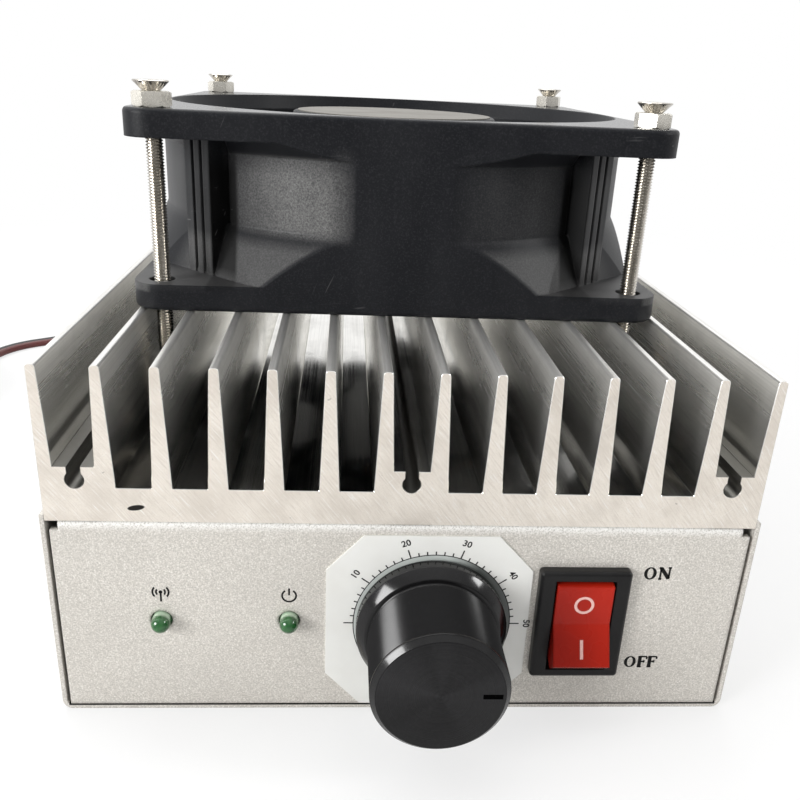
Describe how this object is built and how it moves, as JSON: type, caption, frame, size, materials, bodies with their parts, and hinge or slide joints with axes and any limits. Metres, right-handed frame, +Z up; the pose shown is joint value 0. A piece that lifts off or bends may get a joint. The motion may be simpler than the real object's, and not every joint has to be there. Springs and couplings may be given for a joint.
{
  "type": "hf linear amplifier",
  "caption": "Desktop HF linear amplifier: finned heatsink lid on a sheet metal case, axial fan on long screws, rotary band switch, rocker switch and indicators.",
  "frame": {"origin": "centre of the case's underside, on the surface that it stands on", "axes": "+X right seen from the front, +Y to the rear panel, +Z up"},
  "size_m": [0.2362, 0.2524, 0.0965],
  "materials": {
    "extruded_aluminium": "saw-cut ends, mill finish on the fins",
    "case_paint": "silver-grey speckled paint",
    "dial_print": "pale sticker with a thin black scale",
    "knob_black": "black anodised, turned",
    "switch_black": "satin black plastic",
    "rocker_red": "glossy red plastic",
    "led_green": "tinted clear resin",
    "fan_plastic": "satin black glass-filled plastic",
    "label_white": "blank paper label",
    "zinc_steel": "zinc-plated screws and nuts",
    "bright_nickel": "bright nickel plate",
    "white_insulator": "white fluoropolymer",
    "contact_brass": "plated brass",
    "tinned_copper": "tinned copper",
    "enamelled_copper": "enamelled copper wire",
    "black_rubber": "black rubber",
    "lead_insulation": "red and black soft PVC, side by side",
    "ring_magnet": "bonded ferrite",
    "ferrite": "dull ferrite and coated iron powder",
    "circuit_laminate": "green solder mask",
    "relay_blue": "blue plastic case",
    "capacitor_sleeve": "dark blue sleeve with an aluminium end",
    "device_epoxy": "black moulded epoxy",
    "thermal_pad": "grey silicone pad"
  },
  "bodies": {
    "root": {"heatsink": "extruded_aluminium", "case_shell": "case_paint", "case_pillars": "bright_nickel", "bottom_screws": "zinc_steel", "front_panel": "case_paint", "rear_panel": "case_paint", "panel_screws": "zinc_steel", "dial_plate": "dial_print", "band_switch_body": "switch_black", "band_switch_washer": "bright_nickel", "band_switch_nut": "bright_nickel", "band_switch_lugs": "tinned_copper", "power_switch_body": "switch_black", "power_switch_terminals": "contact_brass", "led_left": "led_green", "led_right": "led_green", "led_clips": "switch_black", "fan_housing": "fan_plastic", "fan_bearings": "bright_nickel", "fan_stator": "ferrite", "fan_coils": "enamelled_copper", "fan_circuit_board": "circuit_laminate", "fan_screws": "zinc_steel", "fan_nuts": "zinc_steel", "rf_sockets": "bright_nickel", "rf_insulators": "white_insulator", "rf_contacts": "contact_brass", "rf_socket_screws": "zinc_steel", "rf_socket_nuts": "zinc_steel", "ptt_jack_shell": "bright_nickel", "ptt_jack_insulator": "white_insulator", "dc_grommet": "black_rubber", "dc_cord": "lead_insulation", "dc_cord_coil": "lead_insulation", "dc_cord_tie": "black_rubber", "dc_connector": "switch_black", "circuit_board": "circuit_laminate", "board_spacers": "bright_nickel", "board_screws": "zinc_steel", "relays": "relay_blue", "toroid_cores": "ferrite", "toroid_windings": "enamelled_copper", "transformer_cores": "ferrite", "transformer_windings": "enamelled_copper", "capacitors": "capacitor_sleeve", "bias_trimmers": "relay_blue", "transistor_bodies": "device_epoxy", "transistor_tabs": "tinned_copper", "transistor_pads": "thermal_pad", "transistor_screws": "zinc_steel"},
    "knob_body": {"knob": "knob_black", "knob_grub_screw": "zinc_steel", "band_switch_shaft": "bright_nickel", "band_switch_rotor": "white_insulator"},
    "rocker": {"power_switch_rocker": "rocker_red"},
    "rotor": {"fan_rotor": "fan_plastic", "fan_shaft": "bright_nickel", "fan_magnet": "ring_magnet", "fan_hub_label": "label_white"}
  },
  "joints": [
    {"name": "knob_turn", "type": "hinge", "parent": "root", "child": "knob_body", "pos_m": [0.0042, -0.075, 0.01725], "axis": [0, -1, 0], "range_deg": [0, 180]},
    {"name": "rocker_tip", "type": "hinge", "parent": "root", "child": "rocker", "pos_m": [0.0285, -0.074, 0.01775], "axis": [1, 0, 0], "range_deg": [0, 26]},
    {"name": "fan_spin", "type": "hinge", "parent": "root", "child": "rotor", "pos_m": [-0.001, 0.0005, 0.0761], "axis": [0, 0, 1], "continuous": true}
  ]
}
